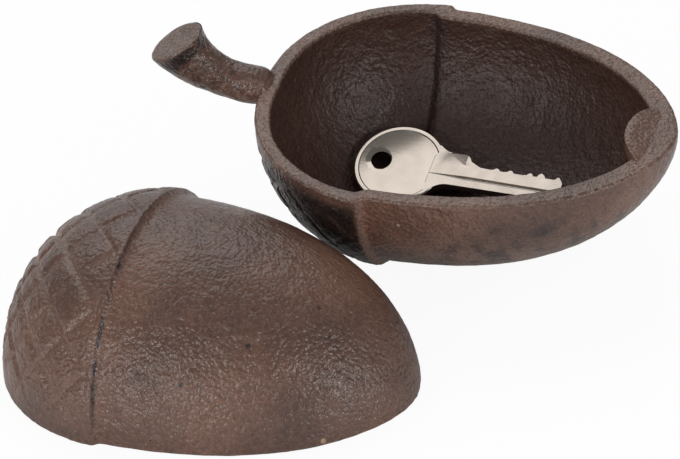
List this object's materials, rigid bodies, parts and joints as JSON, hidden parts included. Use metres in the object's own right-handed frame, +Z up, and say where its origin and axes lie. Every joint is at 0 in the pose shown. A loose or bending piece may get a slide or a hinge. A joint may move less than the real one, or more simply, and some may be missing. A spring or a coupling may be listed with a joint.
{
  "type": "hide-a-key acorn",
  "caption": "Hollow cast-iron acorn split along its length, with a lift-off lid lying beside the base and a house key inside.",
  "frame": {"origin": "on the floor under the middle of the whole row's bounding box", "axes": "+X along the acorns towards the nut's tip of the base, +Y from the lid to the base, +Z up"},
  "size_m": [0.17, 0.1534, 0.0614],
  "materials": {
    "cast_iron": "sand-cast, dark brown patina",
    "nickel_silver": "stamped and tumbled, satin"
  },
  "bodies": {
    "base": {"base_half": "cast_iron"},
    "lid": {"lid_half": "cast_iron"},
    "key": {"house_key": "nickel_silver"}
  },
  "joints": [
    {"name": "lid_lift", "type": "slide", "parent": "base", "child": "lid", "axis": [0, -0.8, 0.6], "range_m": [0, 0.09]},
    {"name": "key_lift", "type": "slide", "parent": "base", "child": "key", "axis": [0, 0, 1], "range_m": [0, 0.08]}
  ]
}
